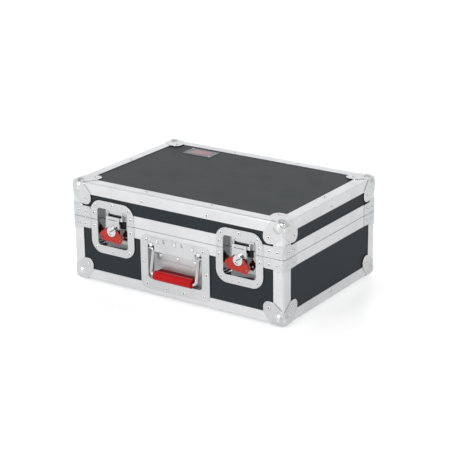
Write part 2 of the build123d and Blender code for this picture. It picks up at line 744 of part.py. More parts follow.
def handle_grip():
    """Moulded grip round the bar, with a thumb tongue that rests on the dish's back."""
    y = FRONT + BAIL_DEPTH
    z = FLOOR + BAIL_HEIGHT - BAIL_DROP
    bar = Pos(0, y, z) * Rot(0, 90, 0) * Cylinder(GRIP_RADIUS, GRIP_LENGTH)
    grip = leaned(fillet(bar.edges(), EDGE_WALL))
    angle = radians(BAIL_LEAN)
    bar_y = y - BAIL_DROP * sin(angle)
    bar_z = FLOOR + BAIL_HEIGHT - BAIL_DROP * cos(angle)
    half = GRIP_LENGTH / 2 - EDGE_WALL
    back = FRONT + DISH_DEPTH - DISH_FIT
    tongue_z = (bar_z + GRIP_TONGUE_RISE, bar_z + GRIP_TONGUE_RISE + GRIP_TONGUE_THICKNESS)
    grip += block((-half, half), (bar_y, back), tongue_z)
    hole = Pos(0, y, z) * Rot(0, 90, 0) * Cylinder(BAIL_ROD, GRIP_LENGTH)
    return grip - leaned(hole)


def along_x(radius, low, high):
    """A rod on the hinge axis between two x values."""
    middle = (low + high) / 2
    return Pos(middle, HINGE_Y, HINGE_Z) * Rot(0, 90, 0) * Cylinder(radius, high - low)


def hinge_leaf(x, sign):
    """One leaf of a hinge: the lid's (+1) has the middle knuckle, the base's the rest."""
    half = HINGE_LENGTH / 2
    lid_half = HINGE_LID_KNUCKLE / 2
    if sign > 0:
        runs = [(x - lid_half, x + lid_half)]
    else:
        inner = lid_half + KNUCKLE_GAP
        runs = [(x - half, x - inner), (x + inner, x + half)]

    def levels(near, far):
        return sorted((HINGE_Z + sign * near, HINGE_Z + sign * far))

    leaf_z = levels(HINGE_LEAF_START, HINGE_LEAF_START + HINGE_LEAF_HEIGHT)
    web_z = levels(HINGE_WEB_START, HINGE_LEAF_START + HINGE_LEAF)
    arm_z = levels(HINGE_WEB_START, KNUCKLE_RADIUS)
    thickness = (HALF_WIDTH, HALF_WIDTH + HINGE_LEAF)
    leaf = block((x - half, x + half), thickness, leaf_z)
    for low, high in runs:
        leaf += block((low, high), thickness, web_z)
        leaf += block((low, high), (HALF_WIDTH, HINGE_Y), arm_z)
        leaf += along_x(KNUCKLE_RADIUS, low, high)
    return leaf - along_x(HINGE_PIN_RADIUS + RUNNING_CLEARANCE, x - half, x + half)


def foam_strips():
    """The pocket insert: long strips and short dividers, glued face to face."""
    left = -HALF_LENGTH + PANEL_DEPTH + FOAM_FIT
    right = -left
    front = FRONT + DISH_DEPTH + SHEET + FOAM_FIT
    back = HALF_WIDTH - PANEL_DEPTH - FOAM_FIT
    z_range = (FLOOR + PANEL_DEPTH + FLOOR_PAD, FLOOR + INSERT_TOP)
    wall = FOAM_OUTER_WALL
    bay_right = right - wall
    bay_left = bay_right - BAY_LENGTH
    grid_right = bay_left - wall
    grid_left = left + wall
    y_low = front + wall
    y_high = back - wall
    row_gap = (y_high - y_low - POCKET_ROWS * POCKET_WIDTH) / (POCKET_ROWS - 1)
    column_gap = (grid_right - grid_left - POCKET_COLUMNS * POCKET_LENGTH) / (POCKET_COLUMNS - 1)
    strips = [
        block((left, right), (front, y_low), z_range),
        block((left, right), (y_high, back), z_range),
        block((bay_right, right), (y_low, y_high), z_range),
        block((grid_right, bay_left), (y_low, y_high), z_range),
        block((left, grid_left), (y_low, y_high), z_range),
    ]
    for row in range(POCKET_ROWS):
        low = y_low + row * (POCKET_WIDTH + row_gap)
        high = low + POCKET_WIDTH
        if row < POCKET_ROWS - 1:
            strips.append(block((grid_left, grid_right), (high, high + row_gap), z_range))
        for column in range(1, POCKET_COLUMNS):
            x = grid_left + column * POCKET_LENGTH + (column - 1) * column_gap
            strips.append(block((x, x + column_gap), (low, high), z_range))
    return strips


def floor_pad():
    reach = HALF_LENGTH - PANEL_DEPTH - FOAM_FIT
    front = FRONT + DISH_DEPTH + SHEET + FOAM_FIT
    back = HALF_WIDTH - PANEL_DEPTH - FOAM_FIT
    low = FLOOR + PANEL_DEPTH
    return block((-reach, reach), (front, back), (low, low + FLOOR_PAD))


def lid_pad():
    x = HALF_LENGTH - PANEL_DEPTH - FOAM_FIT
    y = HALF_WIDTH - PANEL_DEPTH - FOAM_FIT
    high = TOP - PANEL_DEPTH
    return block((-x, x), (-y, y), (high - LID_FOAM, high))


def name_plate():
    """Bare name plate riveted on the lid's top panel."""
    level = TOP - EDGE_WALL
    outline = RectangleRounded(PLATE_LENGTH, PLATE_WIDTH, EDGE_WALL)
    return Pos(*PLATE_CENTRE, level) * extrude(outline, amount=PLATE_THICKNESS)


def build():
    """Every node of the case, by name."""
    full_x = (-HALF_LENGTH, HALF_LENGTH)
    full_y = (-HALF_WIDTH, HALF_WIDTH)
    nodes = {}
    nodes["base_panel_bottom"] = CORE & block(full_x, full_y, (FLOOR, FLOOR + PANEL_DEPTH))
    nodes["lid_panel_top"] = CORE & block(full_x, full_y, (TOP - PANEL_DEPTH, TOP))
    base_walls = wall_panels(FLOOR + PANEL_DEPTH, PARTING - RIM_CAP)
    lid_walls = wall_panels(LID_FLOOR + LID_RIM_CAP, TOP - PANEL_DEPTH)
    base_edges = flat_edges((FLOOR, FLOOR + EDGE_LEG))
    lid_edges = flat_edges((TOP - EDGE_LEG, TOP))
    base_lengths = base_rims()
    lid_lengths = lid_rims()
    for hole in LATCH_HOLES:
        for parts in (base_walls, lid_walls, base_lengths, lid_lengths):
            parts["front"] -= hole
    base_walls["front"] -= handle_hole()
    for side in ("front", "back", "left", "right"):
        nodes["base_panel_" + side] = base_walls[side]
        nodes["lid_panel_" + side] = lid_walls[side]
        nodes["base_edge_" + side] = base_edges[side]
        nodes["lid_edge_" + side] = lid_edges[side]
        nodes["base_rim_" + side] = base_lengths[side]
        nodes["lid_rim_" + side] = lid_lengths[side]
    nodes["base_posts"] = posts((FLOOR + EDGE_END_GAP, PARTING - BASE_RIM_LEG))
    nodes["lid_posts"] = posts((PARTING + LID_RIM_LEG, TOP - EDGE_END_GAP))

    upper_ball = ball_corner()
    middle = Plane(origin=(0, 0, FLOOR + CASE_HEIGHT / 2), z_dir=(0, 0, 1))
    nodes["lid_ball_corners"] = four_corners(upper_ball)
    nodes["base_ball_corners"] = four_corners(mirror(upper_ball, middle))
    legs = (BRACE_FRONT_LEG, BRACE_SIDE_LEG)
    nodes["lid_corner_braces"] = four_corners(brace(legs, LID_RIM_LEG, 1))
    nodes["base_corner_braces"] = four_corners(brace(legs, BASE_RIM_LEG, -1))

    handle_heads = [front_rivet(x, height) for x, height in HANDLE_RIVETS + COVER_RIVETS]
    nodes["base_rivets"] = (
        corner_rivets(-1) + brace_rivets(-1) + edge_rivets(-1) + latch_rivets(False) + handle_heads
    )
    nodes["lid_rivets"] = (
        corner_rivets(1) + brace_rivets(1) + edge_rivets(1) + latch_rivets(True)
        + keeper_rivets() + plate_rivets()
    )

    for side, x in (("left", -LATCH_X), ("right", LATCH_X)):
        dish = latch_dish(x)
        tilt = WING_TILTS[side]
        nodes[side + "_latch_dish_lower"] = dish & below(PARTING)
        nodes[side + "_latch_dish_upper"] = dish & above(LID_FLOOR)
        nodes[side + "_latch_base"] = latch_base(x)
        nodes[side + "_latch_hook"] = latch_hook(x)
        nodes[side + "_latch_spindle"] = latch_spindle(x, tilt)
        nodes[side + "_latch_wing"] = latch_wing(x, tilt)
        nodes[side + "_latch_keeper"] = latch_keeper(x)

    nodes["handle_dish"] = handle_dish()
    nodes["handle_cover_plate"] = handle_cover()
    nodes["handle_bail"] = handle_bail()
    nodes["handle_grip"] = handle_grip()

    hinges = (-HINGE_X, HINGE_X)
    nodes["hinge_base_leaves"] = [hinge_leaf(x, -1) for x in hinges]
    nodes["hinge_lid_leaves"] = [hinge_leaf(x, 1) for x in hinges]
    half = HINGE_LENGTH / 2
    nodes["hinge_pins"] = [along_x(HINGE_PIN_RADIUS, x - half, x + half) for x in hinges]

    nodes["base_floor_pad"] = floor_pad()
    nodes["base_foam_insert"] = foam_strips()
    nodes["lid_foam"] = lid_pad()
    nodes["name_plate"] = name_plate()
    return nodes


def solids_of(item):
    """Every solid in a shape or in a list of shapes."""
    shapes = item if isinstance(item, list) else [item]
    return [solid for shape in shapes for solid in shape.solids()]


os.makedirs("parts", exist_ok=True)
for name, item in build().items():
    solids = solids_of(item)
    shape = solids[0] if len(solids) == 1 else Compound(solids)
    export_step(shape, "parts/" + name + ".step")
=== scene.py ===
# %% [markdown]
# # A microphone case, dressed over its CAD frame
# The case is a plywood box bound in aluminium, with a hinged lid, two sunken twist latches and a
# sunken handle. The CAD frame gives every size and place. This lesson adds what a camera sees:
# soft edges, rivets, worn metal, laminate, red paint and foam. Blender works in metres here, +Z
# is up, and the front of the case looks towards -Y.

# %% Load the frame
import json
from math import cos, radians, sin

import bpy
from mathutils import Matrix, Vector


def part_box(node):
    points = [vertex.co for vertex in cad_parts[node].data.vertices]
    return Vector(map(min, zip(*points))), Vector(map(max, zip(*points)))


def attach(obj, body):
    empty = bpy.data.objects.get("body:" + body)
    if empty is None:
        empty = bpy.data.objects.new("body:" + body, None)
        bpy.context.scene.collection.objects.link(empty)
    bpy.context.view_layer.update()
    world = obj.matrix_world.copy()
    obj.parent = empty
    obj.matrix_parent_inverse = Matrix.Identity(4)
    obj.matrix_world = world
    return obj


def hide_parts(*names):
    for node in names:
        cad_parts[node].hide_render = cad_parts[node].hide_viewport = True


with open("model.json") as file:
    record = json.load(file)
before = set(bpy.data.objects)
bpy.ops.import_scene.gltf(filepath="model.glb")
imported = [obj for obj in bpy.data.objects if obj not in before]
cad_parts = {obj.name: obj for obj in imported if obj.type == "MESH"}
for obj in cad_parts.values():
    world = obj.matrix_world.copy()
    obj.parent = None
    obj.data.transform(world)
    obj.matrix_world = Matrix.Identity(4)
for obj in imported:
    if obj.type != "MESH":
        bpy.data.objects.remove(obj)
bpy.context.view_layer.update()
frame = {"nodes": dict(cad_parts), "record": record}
nodes = frame["nodes"]
body_of = {}
for body, members in frame["record"]["behaviour"]["bodies"].items():
    for member in members:
        body_of[member] = body

# %% [markdown]
# ## Words for the workbench
# Almost every piece below starts as a clean copy of a CAD solid or as a primitive, and is then
# worked with the tools that the menus of Edit Mode offer. An operator acts on all that is
# selected, so these first helpers keep the selection down to one object.

# %% Select and edit one object
MM = 0.001


def only(piece):
    """Deselect everything, then select one object and make it the active one."""
    bpy.ops.object.select_all(action="DESELECT")
    piece.select_set(True)
    bpy.context.view_layer.objects.active = piece


def edit(piece):
    """Go into Edit Mode on one object with all of its mesh selected."""
    only(piece)
    bpy.ops.object.mode_set(mode="EDIT")
    bpy.ops.mesh.select_all(action="SELECT")


def leave_edit():
    """Go back to Object Mode."""
    bpy.ops.object.mode_set(mode="OBJECT")


print("selection helpers ready")

# %% [markdown]
# No edge of a real fitting is a knife edge. A narrow bevel gives each edge a thin line of light,
# and smooth shading rounds what the bevel leaves. Smooth shading alone would bend the light on
# the big flat faces too, so a Weighted Normal modifier gives those their own direction back.

# %% Soft edges and clean shading
SHARP = 35


def smooth(piece, angle):
    """Smooth shading, but not across edges sharper than an angle in degrees."""
    only(piece)
    bpy.ops.object.shade_smooth_by_angle(angle=radians(angle))


def apply_bevel(piece, width, segments):
    """Round the sharp edges by a width in millimetres and keep the result in the mesh."""
    only(piece)
    bevel = piece.modifiers.new("soft_edges", "BEVEL")
    bevel.width = width * MM
    bevel.segments = segments
    bevel.limit_method = "ANGLE"
    bevel.angle_limit = radians(SHARP)
    bevel.use_clamp_overlap = False
    bpy.ops.object.modifier_apply(modifier=bevel.name)


def flat_normals(piece):
    """Let the big flat faces keep their own normal, and bend the light on the narrow ones only."""
    only(piece)
    weigh = piece.modifiers.new("flat_faces", "WEIGHTED_NORMAL")
    weigh.weight = 100
    weigh.keep_sharp = True
    bpy.ops.object.modifier_apply(modifier=weigh.name)


print("shading helpers ready")

# %% [markdown]
# A CAD node's mesh is loose triangles, and it is never changed. A copy of it has its doubles
# merged and its flat triangles dissolved into whole faces first, so that a bevel finds the real
# edges. Every finished piece sits at the origin and rides on a body of the frame.

# %% Copy, join and settle
SAME_PLACE = 0.002 * MM
FLAT = radians(0.5)


def clean_copy(node, name):
    """A copy of a CAD solid's mesh with its triangles merged back into flat faces."""
    piece = bpy.data.objects.new(name, nodes[node].data.copy())
    bpy.context.collection.objects.link(piece)
    piece.data.materials.clear()
    only(piece)
    bpy.ops.mesh.customdata_custom_splitnormals_clear()
    edit(piece)
    bpy.ops.mesh.remove_doubles(threshold=SAME_PLACE)
    bpy.ops.mesh.dissolve_limited(angle_limit=FLAT)
    leave_edit()
    return piece


def join(pieces, name):
    """Join several objects into one that sits at the origin."""
    only(pieces[0])
    for piece in pieces[1:]:
        piece.select_set(True)
    bpy.ops.object.join()
    joined = bpy.context.view_layer.objects.active
    joined.name = name
    bpy.ops.object.transform_apply(location=True, rotation=True, scale=True)
    return joined


def settle(piece, body, finish):
    """Give a piece its body, and one finish unless it carries its own already."""
    if finish is not None:
        piece.data.materials.clear()
        piece.data.materials.append(finish)
    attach(piece, body)


print("piece helpers ready")

# %% [markdown]
# ## Effects that several finishes share
# A real surface is never one number all over. Handling leaves cloudy patches, a die leaves fine
# lines along an extrusion, and a coat has a fine grain. Each effect is a node group, so that a
# finish can take it with one node. First come short words for the nodes that the groups and
# finishes use.

# %% Node tools
def new_group(name, inputs, outputs):
    """A shader node group with named inputs and outputs."""
    group = bpy.data.node_groups.new(name, "ShaderNodeTree")
    for label, kind, value in inputs:
        socket = group.interface.new_socket(label, in_out="INPUT", socket_type=kind)
        socket.default_value = value
    for label, kind in outputs:
        group.interface.new_socket(label, in_out="OUTPUT", socket_type=kind)
    return group, group.nodes.new("NodeGroupInput"), group.nodes.new("NodeGroupOutput")


def noise(tree, vector, scale, detail, rough):
    """A noise texture on a vector socket; gives back its factor output."""
    node = tree.nodes.new("ShaderNodeTexNoise")
    node.inputs["Scale"].default_value = scale
    node.inputs["Detail"].default_value = detail
    node.inputs["Roughness"].default_value = rough
    tree.links.new(vector, node.inputs["Vector"])
    return node.outputs["Fac"]


def remap(tree, value, low, high, new_low, new_high):
    """Stretch a range of values onto another range, smoothly held at both ends."""
    node = tree.nodes.new("ShaderNodeMapRange")
    node.interpolation_type = "SMOOTHSTEP"
    for label, number in (
        ("From Min", low), ("From Max", high), ("To Min", new_low), ("To Max", new_high)
    ):
        node.inputs[label].default_value = number
    tree.links.new(value, node.inputs["Value"])
    return node.outputs["Result"]


def maths(tree, kind, first, second):
    """One Math node. Each side is a socket or a number."""
    node = tree.nodes.new("ShaderNodeMath")
    node.operation = kind
    for index, side in enumerate((first, second)):
        if isinstance(side, (int, float)):
            node.inputs[index].default_value = side
        else:
            tree.links.new(side, node.inputs[index])
    return node.outputs[0]


def vector_maths(tree, kind, first, second):
    """One Vector Math node on a socket and either a socket or three numbers."""
    node = tree.nodes.new("ShaderNodeVectorMath")
    node.operation = kind
    tree.links.new(first, node.inputs[0])
    if isinstance(second, tuple):
        node.inputs[1].default_value = second
    else:
        tree.links.new(second, node.inputs[1])
    return node


def apart(tree, vector):
    """The X, Y and Z of a vector as three sockets."""
    node = tree.nodes.new("ShaderNodeSeparateXYZ")
    tree.links.new(vector, node.inputs[0])
    return node.outputs


def object_point(tree):
    """The Object coordinates, which are metres in the case's own frame."""
    return tree.nodes.new("ShaderNodeTexCoord").outputs["Object"]


print("node tools ready")

# %% [markdown]
# ### Handling marks
# Hands leave two sizes of mark: a broad cloud, and small rubs of a few millimetres. They could be
# painted images, but noise on Object coordinates needs no unwrapping and fits every piece at the
# same scale. So each size of mark is one noise, and its range is stretched until it shows.

# %% Handling marks
handling, _, leave = new_group(
    "handling marks", [], [("Cloud", "NodeSocketFloat"), ("Rub", "NodeSocketFloat")]
)
point = object_point(handling)
cloud = remap(handling, noise(handling, point, 14, 5, 0.6), 0.35, 0.7, 0, 1)
rub = remap(handling, noise(handling, point, 160, 3, 0.7), 0.52, 0.75, 0, 1)
handling.links.new(cloud, leave.inputs["Cloud"])
handling.links.new(rub, leave.inputs["Rub"])
print(handling.name)

# %% [markdown]
# ### Die lines
# Extruded metal has fine lines along it, from small flaws in the die. An image of lines would
# show where it repeats. A noise that is squeezed hard across the extrusion, and left long along
# it, has no repeat. The two scales come in through one vector, so that a finish can choose the
# direction.

# %% Die lines
die_lines, enter, leave = new_group(
    "die lines", [("Along", "NodeSocketVector", (1, 1, 1))], [("Line", "NodeSocketFloat")]
)
stretched = vector_maths(die_lines, "MULTIPLY", object_point(die_lines), enter.outputs["Along"])
die_lines.links.new(noise(die_lines, stretched.outputs[0], 1, 3, 0.6), leave.inputs["Line"])
print(die_lines.name)

# %% [markdown]
# ### Fine grain
# Plating, paint and laminate all have a grain that the eye can't make out, but that breaks up the
# light. Real relief that fine would need millions of faces. So it is one fine noise, which each
# finish uses as a bump with a depth of its own.

# %% Fine grain
grain, _, leave = new_group("fine grain", [], [("Height", "NodeSocketFloat")])
grain.links.new(noise(grain, object_point(grain), 900, 3, 0.55), leave.inputs["Height"])
print(grain.name)

# %% [markdown]
# ## Finishes
# Each finish below is one Principled shader. What is the same all over a surface is set on the
# shader's own sockets, and only colour, roughness and normal are driven by nodes, because those
# are what another program can read from a baked picture of the material.

# %% Finish tools
def new_finish(name, metal=0.0, specular=0.5):
    """A material with one Principled shader; gives back the material, its tree and shader."""
    finish = bpy.data.materials.new(name)
    finish.use_nodes = True
    tree = finish.node_tree
    shader = tree.nodes["Principled BSDF"]
    shader.inputs["Metallic"].default_value = metal
    shader.inputs["Specular IOR Level"].default_value = specular
    return finish, tree, shader


def use(tree, group):
    """Place a node group in a material; gives back its outputs and inputs as one node."""
    node = tree.nodes.new("ShaderNodeGroup")
    node.node_tree = group
    return node


def tint(tree, amount, low, high, shader):
    """Base colour that goes from low to high with a mask."""
    mix = tree.nodes.new("ShaderNodeMix")
    mix.data_type = "RGBA"
    mix.inputs["A"].default_value = (*low, 1)
    mix.inputs["B"].default_value = (*high, 1)
    tree.links.new(amount, mix.inputs["Factor"])
    tree.links.new(mix.outputs["Result"], shader.inputs["Base Color"])


def roughen(tree, value, shader):
    """Roughness that follows a value over the surface."""
    tree.links.new(value, shader.inputs["Roughness"])


def relief(tree, height, depth, strength, shader):
    """A bump of a depth in millimetres."""
    bump = tree.nodes.new("ShaderNodeBump")
    bump.inputs["Distance"].default_value = depth * MM
    bump.inputs["Strength"].default_value = strength
    tree.links.new(height, bump.inputs["Height"])
    tree.links.new(bump.outputs["Normal"], shader.inputs["Normal"])


print("finish tools ready")

# %% [markdown]
# ### Laminate
# The panels are plywood with a thin dark plastic skin, pressed on with a matt, very fine texture.
# It is nearly black but not quite, a little blue, and it reflects the room only softly. So the
# colour stays dark, the specular level is low, and the grain is a bump of two hundredths of a
# millimetre.

# %% Laminate
laminate, tree, shader = new_finish("dark laminate", specular=0.11)
cloud = use(tree, handling).outputs["Cloud"]
tint(tree, cloud, (0.032, 0.039, 0.044), (0.036, 0.043, 0.048), shader)
roughen(tree, remap(tree, cloud, 0, 1, 0.41, 0.45), shader)
relief(tree, use(tree, grain).outputs["Height"], 0.02, 0.2, shader)
print(laminate.name)

# %% [markdown]
# ### Aluminium
# Extruded aluminium keeps faint lines in the direction in which it left the die. The case has
# edging along all three axes, so one function makes the same finish for each direction. Where the
# metal has been handled it is a little brighter and smoother.

# %% Satin aluminium
FINE = 2600
SLOW = 12


def extruded(name, along):
    """Satin aluminium with its die lines along one axis."""
    finish, tree, shader = new_finish(name, metal=1.0)
    lines = use(tree, die_lines)
    lines.inputs["Along"].default_value = along
    line = lines.outputs["Line"]
    cloud = use(tree, handling).outputs["Cloud"]
    shade = maths(tree, "MULTIPLY", line, 0.5)
    shade = maths(tree, "ADD", shade, maths(tree, "MULTIPLY", cloud, 0.5))
    tint(tree, shade, (0.75, 0.765, 0.78), (0.86, 0.87, 0.88), shader)
    roughen(tree, remap(tree, shade, 0.1, 0.9, 0.42, 0.28), shader)
    relief(tree, line, 0.03, 0.35, shader)
    return finish


aluminium = {
    "x": extruded("aluminium along x", (SLOW, FINE, FINE)),
    "y": extruded("aluminium along y", (FINE, SLOW, FINE)),
    "z": extruded("aluminium along z", (FINE, FINE, SLOW)),
}
print([finish.name for finish in aluminium.values()])

# %% [markdown]
# ### Plated and polished steel
# The braces and dishes are zinc plated, the ball corners are polished, and the barrels are
# chromed. They differ only in how bright and how smooth they are, so one function takes a dark
# and a light shade, the roughness where the plate is clean and where it is worn, and the depth of
# its grain.

# %% Plated steel
def plated(name, low, high, unworn_and_unshaded, worn, depth):
    """Bare or plated metal, duller where hands have been."""
    finish, tree, shader = new_finish(name, metal=1.0)
    marks = use(tree, handling)
    cloud = marks.outputs["Cloud"]
    tint(tree, cloud, low, high, shader)
    wear = maths(tree, "ADD", cloud, maths(tree, "MULTIPLY", marks.outputs["Rub"], 0.15))
    roughen(tree, remap(tree, wear, 0, 1.4, unworn_and_unshaded, worn), shader)
    relief(tree, use(tree, grain).outputs["Height"], depth, 0.3, shader)
    return finish


zinc = plated("zinc plate", (0.65, 0.665, 0.68), (0.75, 0.76, 0.77), 0.24, 0.34, 0.004)
satin_zinc = plated("satin zinc", (0.68, 0.695, 0.705), (0.76, 0.77, 0.775), 0.46, 0.54, 0.004)
polished = plated("polished steel", (0.66, 0.67, 0.68), (0.76, 0.765, 0.77), 0.08, 0.16, 0.004)
bail_steel = plated("bail steel", (0.52, 0.53, 0.54), (0.60, 0.61, 0.62), 0.06, 0.12, 0.002)
chrome = plated("bright chrome", (0.74, 0.75, 0.76), (0.82, 0.83, 0.84), 0.05, 0.12, 0.002)
rivet_metal = plated("rivet aluminium", (0.86, 0.865, 0.87), (0.95, 0.95, 0.955), 0.26, 0.38, 0.01)
# Painted shadow: a dark shade for the ring at each rivet's foot and for the notches in the
# handle's cover plate.
painted_shadow = plated("painted shadow round rivets and notches", (0.15, 0.15, 0.15), (0.23, 0.23, 0.23), 0.5, 0.7, 0.01)
print(zinc.name, polished.name, chrome.name, rivet_metal.name, painted_shadow.name)

# %% [markdown]
# ### Drawn steel of the latch dishes
# A latch dish is one pressing, but it has two faces: its flange lies flat on the case and is satin
# from handling, while the sunken inside has kept its mirror. The inside's base colour is also
# darker with depth, as painted shade and painted dark reflection in the hollow. A second material
# on some faces could show that. A mask by depth is softer, and it runs round the drawn edge by
# itself.

# %% Dish steel
FLANGE_Y = -0.1732
INSIDE_Y = -0.1690

dish_steel, tree, shader = new_finish("drawn dish steel", metal=1.0)
# The depth mask darkens the base colour as painted shade inside the dish, and also makes the
# inside smoother.
sunk = remap(tree, apart(tree, object_point(tree))["Y"], FLANGE_Y, INSIDE_Y, 0, 1)
tint(tree, sunk, (0.70, 0.71, 0.72), (0.40, 0.41, 0.42), shader)
worn = remap(tree, use(tree, handling).outputs["Cloud"], 0, 1, 0, 0.08)
roughen(tree, maths(tree, "ADD", worn, remap(tree, sunk, 0, 1, 0.25, 0.09)), shader)
print(dish_steel.name)

# %% [markdown]
# ### Paint and dark hollows
# The wings are powder coated red. The same kind of coat, dark and rough, is painted shade at the
# bottoms of small holes and in a fold and a gap where no light comes back, and it also colours
# small dark dots on the barrels. Two more shades belong to the plate on the lid. A coat could be a
# second layer on the shader, but these are matt, so one layer does, and one function makes them
# all.

# %% Coats
def coated(name, low, high, smooth_end, rough_end, depth):
    """A coat of paint between two shades, with its own gloss and grain."""
    finish, tree, shader = new_finish(name, specular=0.25)
    cloud = use(tree, handling).outputs["Cloud"]
    tint(tree, cloud, low, high, shader)
    roughen(tree, remap(tree, cloud, 0, 1, smooth_end, rough_end), shader)
    relief(tree, use(tree, grain).outputs["Height"], depth, 0.4, shader)
    return finish


wing_red = coated("red wing paint", (0.54, 0.040, 0.032), (0.62, 0.055, 0.042), 0.34, 0.46, 0.03)
# Painted shade: a near-black coat for rivet hollows, the hook fold and the gap beside the hook; it
# also colours the dots on the barrels.
painted_shade_and_marks = coated("dark hollow", (0.012, 0.012, 0.013), (0.02, 0.02, 0.021), 0.5, 0.7, 0.03)
plate_dark = coated("name plate face", (0.22, 0.23, 0.235), (0.27, 0.28, 0.285), 0.35, 0.5, 0.02)
plate_band = coated("name plate band", (0.42, 0.25, 0.28), (0.50, 0.31, 0.34), 0.4, 0.5, 0.02)
print(wing_red.name, painted_shade_and_marks.name, plate_dark.name, plate_band.name)

# %% [markdown]
# ### The grip's rubber
# The grip is a smooth red sleeve, with a tongue that reaches back into the dish, where fingers
# curl behind it. The tongue's base colour is much darker, as painted shade for the little light
# that gets in there. Here too a mask by depth does the change, from the round front of the grip to
# the tongue.

# %% Grip rubber
SLEEVE_Y = -0.1775
TONGUE_Y = -0.1745

grip_red, tree, shader = new_finish("red grip", specular=0.16)
cloud = use(tree, handling).outputs["Cloud"]
# Painted shade: the base colour darkens from the round sleeve back to the tongue.
unworn_and_unshaded = remap(tree, apart(tree, object_point(tree))["Y"], SLEEVE_Y, TONGUE_Y, 1, 0.12)
shade = maths(tree, "SUBTRACT", unworn_and_unshaded, maths(tree, "MULTIPLY", cloud, 0.12))
tint(tree, shade, (0.17, 0.003, 0.004), (0.62, 0.006, 0.009), shader)
roughen(tree, remap(tree, shade, 0, 1, 0.62, 0.32), shader)
relief(tree, use(tree, grain).outputs["Height"], 0.02, 0.4, shader)
print(grip_red.name)

# %% [markdown]
# ### Foam
# Charcoal foam is cut open cells. Noise would give it soft clouds, so its pores come from a
# Voronoi texture, with cells of about a millimetre and a half, as colour and as relief. It has
# almost no gloss, and a trace of sheen at its edges.

# %% Foam finish
foam_grey, tree, shader = new_finish("charcoal foam", specular=0.2)
pores = tree.nodes.new("ShaderNodeTexVoronoi")
pores.inputs["Scale"].default_value = 700
tree.links.new(object_point(tree), pores.inputs["Vector"])
tint(tree, pores.outputs["Distance"], (0.012, 0.012, 0.013), (0.035, 0.035, 0.038), shader)
relief(tree, pores.outputs["Distance"], 0.5, 0.8, shader)
shader.inputs["Roughness"].default_value = 0.95
shader.inputs["Sheen Weight"].default_value = 0.15
print(foam_grey.name)

# %% [markdown]
# ## Panels and pins
# The laminate panels are flat boards in the CAD already, with their edges hidden in the edging,
# so they stay as they are and only take their finish. The hinge pins do too: they are plain rods
# on the real case as well.

# %% Paint the boards and pins
def paint(node, finish):
    """Put a finish on a CAD node that stays in the picture."""
    for slot in nodes[node].material_slots:
        slot.material = finish


boards = [node for node in nodes if "_panel_" in node]
for node in boards:
    paint(node, laminate)
paint("hinge_pins", chrome)
print("boards:", len(boards))

# %% [markdown]
# ## Edging and rims
# Every long edge of the case is an aluminium extrusion, and two rims with a tongue and groove
# meet at the parting. They could be drawn anew from their section, but the CAD has that section
# right. So a copy of each solid gets a small bevel, and its edge at the parting is drawn back by
# about a fifth of a millimetre, which makes the seam read as the fine dark line that it is.

# %% Dress a solid
LID_SEAM = 0.1393
BASE_SEAM = 0.139
SEAM_GAP = 0.22 * MM
ON_SEAM = 0.01 * MM
CURVED = 40


def open_seam(piece):
    """Draw the metal back from the parting."""
    for vertex in piece.data.vertices:
        if abs(vertex.co.z - LID_SEAM) < ON_SEAM:
            vertex.co.z += SEAM_GAP
        elif abs(vertex.co.z - BASE_SEAM) < ON_SEAM:
            vertex.co.z -= SEAM_GAP


def dressed(node, finish, width, segments=2):
    """A copy of a CAD solid with soft edges, in its place and on its body."""
    piece = clean_copy(node, "dressed_" + node)
    open_seam(piece)
    apply_bevel(piece, width, segments)
    smooth(piece, CURVED)
    flat_normals(piece)
    settle(piece, body_of[node], finish)
    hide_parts(node)
    return piece


print("seams at", BASE_SEAM, LID_SEAM)

# %% [markdown]
# The edging and rims of the front and back run along x, and those of the sides along y. A post
# stands in each corner of both halves. They are all one kind of metal, so one loop dresses them,
# each with the die lines of its own direction.

# %% Dress the extrusions
EDGE_BEVEL = 0.3
for part in ("base", "lid"):
    for face, axis in (("front", "x"), ("back", "x"), ("left", "y"), ("right", "y")):
        for profile in ("edge", "rim"):
            dressed(f"{part}_{profile}_{face}", aluminium[axis], EDGE_BEVEL)
    dressed(f"{part}_posts", aluminium["z"], EDGE_BEVEL)
print("extrusions dressed")

# %% [markdown]
# ## Pressed steel
# Braces, dishes, keepers and hinge leaves are pressed from sheet a little over a millimetre
# thick, so their bevel stays under a third of that. The wings are thicker castings and the grip
# is soft, so both have rounder edges, in three steps.

# %% Dress the pressings
for part in ("base", "lid"):
    dressed(f"{part}_corner_braces", zinc, EDGE_BEVEL)
    dressed(f"hinge_{part}_leaves", zinc, EDGE_BEVEL)
for side in ("left", "right"):
    for name in ("dish_lower", "dish_upper"):
        dressed(f"{side}_latch_{name}", dish_steel, EDGE_BEVEL)
    dressed(f"{side}_latch_keeper", zinc, EDGE_BEVEL)
    dressed(f"{side}_latch_base", dish_steel, 0.2)
    dressed(f"{side}_latch_hook", zinc, EDGE_BEVEL)
    dressed(f"{side}_latch_spindle", chrome, 0.25)
    dressed(f"{side}_latch_wing", wing_red, 0.5, 3)
dressed("handle_dish", satin_zinc, EDGE_BEVEL)
dressed("handle_cover_plate", satin_zinc, 0.2)
dressed("handle_bail", bail_steel, 0.2)
dressed("handle_grip", grip_red, 0.8, 3)
print("pressings dressed")

# %% [markdown]
# ## Ball corners
# Each corner is one deep-drawn pressing: a ball that flows into three leaves. A bevel can't round
# the line where a ball meets a flat leaf. So these copies are remeshed into small even squares
# and relaxed, which melts every join into a fillet, and then thinned, because a mirror needs a
# smooth skin but not many faces. Each corner becomes a piece of its own.

# %% Melt the corners into one skin
VOXEL = 0.7 * MM
RELAX = 0.5
RELAX_PASSES = 6
KEEP_FACES = 0.4


